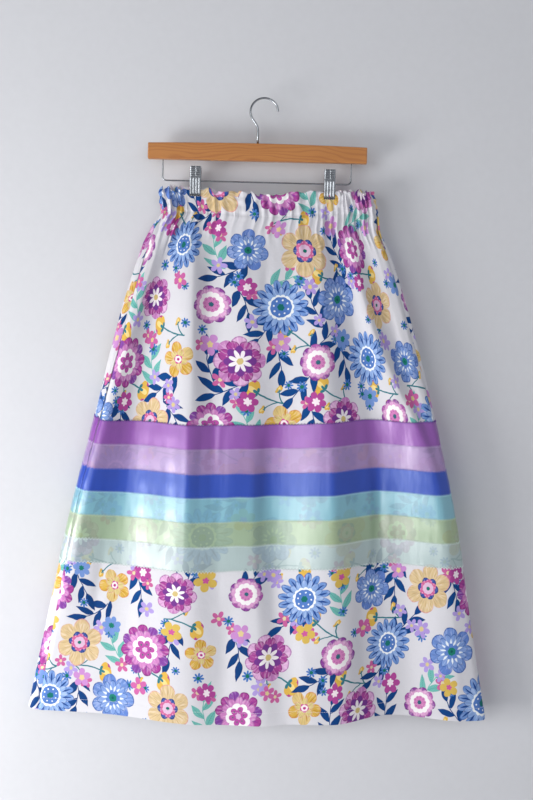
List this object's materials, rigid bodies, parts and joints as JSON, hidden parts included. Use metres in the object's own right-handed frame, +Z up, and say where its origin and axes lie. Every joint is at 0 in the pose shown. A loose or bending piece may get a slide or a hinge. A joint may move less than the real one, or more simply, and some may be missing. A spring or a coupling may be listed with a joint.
{
  "type": "ribbon skirt on clip hanger",
  "caption": "Long gathered A-line skirt of flowered cotton with satin ribbon bands round it, hanging by its elastic waist from the clips of a wooden bar hanger.",
  "frame": {"origin": "inner top of the hanger's hook, where it hangs", "axes": "+Z up, +X to the viewer's right along the hanger's bar, -Y towards the viewer, from the skirt's front"},
  "size_m": [0.7283, 0.0746, 0.9949],
  "materials": {
    "printed_cotton": null,
    "satin_orchid": "polyester satin ribbon with a soft sheen",
    "satin_lilac": "polyester satin ribbon with a soft sheen",
    "satin_royal": "polyester satin ribbon with a soft sheen",
    "satin_aqua": "polyester satin ribbon with a soft sheen",
    "satin_celery": "polyester satin ribbon with a soft sheen",
    "satin_mint": "polyester satin ribbon with a soft sheen",
    "wood": "varnished, warm orange brown with arching grain",
    "chrome": "polished"
  },
  "bodies": {
    "root": {"skirt_front": "printed_cotton", "skirt_back": "printed_cotton", "ribbon_front_orchid": "satin_orchid", "ribbon_front_lilac": "satin_lilac", "ribbon_front_royal": "satin_royal", "ribbon_front_aqua": "satin_aqua", "ribbon_front_celery": "satin_celery", "ribbon_front_mint": "satin_mint", "ribbon_back_orchid": "satin_orchid", "ribbon_back_lilac": "satin_lilac", "ribbon_back_royal": "satin_royal", "ribbon_back_aqua": "satin_aqua", "ribbon_back_celery": "satin_celery", "ribbon_back_mint": "satin_mint", "hanger_bar": "wood", "hanger_hook": "chrome", "hanger_rail": "chrome", "clip_left_front_jaw": "chrome", "clip_left_back_jaw": "chrome", "clip_left_spring": "chrome", "clip_right_front_jaw": "chrome", "clip_right_back_jaw": "chrome", "clip_right_spring": "chrome"}
  },
  "joints": []
}
